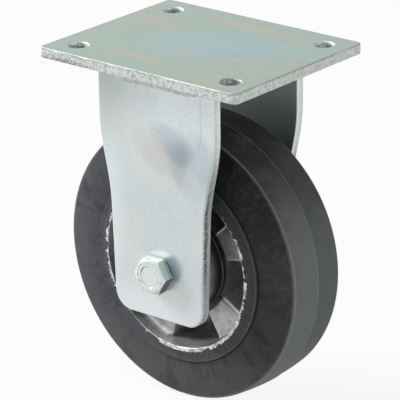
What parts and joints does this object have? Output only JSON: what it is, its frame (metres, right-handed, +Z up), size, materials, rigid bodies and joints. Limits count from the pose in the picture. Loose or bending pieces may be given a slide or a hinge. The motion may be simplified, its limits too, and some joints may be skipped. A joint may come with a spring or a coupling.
{
  "type": "fixed castor",
  "caption": "Fixed castor with a rectangular bolt-hole top plate, welded flat fork legs, and a solid rubber tyre on a pocketed cast rim, turning on ball bearings round a bolted axle.",
  "frame": {"origin": "centre of the top plate's upper face, the face that bolts to the furniture", "axes": "+Z up out of the plate, X the rolling direction, Y along the axle with the bolt's head on the -Y side"},
  "size_m": [0.16, 0.116, 0.2],
  "materials": {
    "zinc_plate": "zinc-plated, slightly mottled",
    "zinc_leg": "zinc-plated, smooth",
    "zinc_leg_back": "zinc-plated, smooth",
    "weld_bead": "plated over, rippled",
    "bright_bolt": "bright zinc-plated",
    "bright_washer": "bright zinc-plated",
    "bright_nut": "bright zinc-plated",
    "nut_ring_plastic": "plain, slightly translucent",
    "turned_steel": "turned",
    "cast_aluminium": "as cast, fine rough skin",
    "rubber_tyre": "satin black, moulded",
    "bearing_steel": "ground",
    "seal_rubber": "matt black",
    "cage_sheet": "pressed sheet",
    "ball_steel": "polished"
  },
  "bodies": {
    "fork": {"top_plate": "zinc_plate", "front_fork_leg": "zinc_leg", "back_fork_leg": "zinc_leg_back", "front_weld": "weld_bead", "back_weld": "weld_bead", "axle_bolt": "bright_bolt", "nut_washer": "bright_washer", "lock_nut": "bright_nut", "lock_nut_ring": "nut_ring_plastic", "axle_tube": "turned_steel", "front_spacer": "turned_steel", "back_spacer": "turned_steel", "bearing_spacer": "turned_steel", "front_bearing_inner_ring": "bearing_steel", "back_bearing_inner_ring": "bearing_steel"},
    "wheel": {"wheel_rim": "cast_aluminium", "tyre": "rubber_tyre", "front_bearing_outer_ring": "bearing_steel", "front_bearing_outboard_seal": "seal_rubber", "front_bearing_inboard_seal": "seal_rubber", "back_bearing_outer_ring": "bearing_steel", "back_bearing_outboard_seal": "seal_rubber", "back_bearing_inboard_seal": "seal_rubber"},
    "front_ball_set": {"front_bearing_cage": "cage_sheet", "front_bearing_balls": "ball_steel"},
    "back_ball_set": {"back_bearing_cage": "cage_sheet", "back_bearing_balls": "ball_steel"}
  },
  "joints": [
    {"name": "wheel_spin", "type": "hinge", "parent": "fork", "child": "wheel", "pos_m": [0, 0, -0.12], "axis": [0, 1, 0], "continuous": true},
    {"name": "front_balls_turn", "type": "hinge", "parent": "fork", "child": "front_ball_set", "pos_m": [0, 0, -0.12], "axis": [0, 1, 0], "continuous": true},
    {"name": "back_balls_turn", "type": "hinge", "parent": "fork", "child": "back_ball_set", "pos_m": [0, 0, -0.12], "axis": [0, 1, 0], "continuous": true}
  ],
  "couplings": [
    {"joint": "front_balls_turn", "follows": "wheel_spin", "ratio": 0.61851},
    {"joint": "back_balls_turn", "follows": "wheel_spin", "ratio": 0.61851}
  ]
}
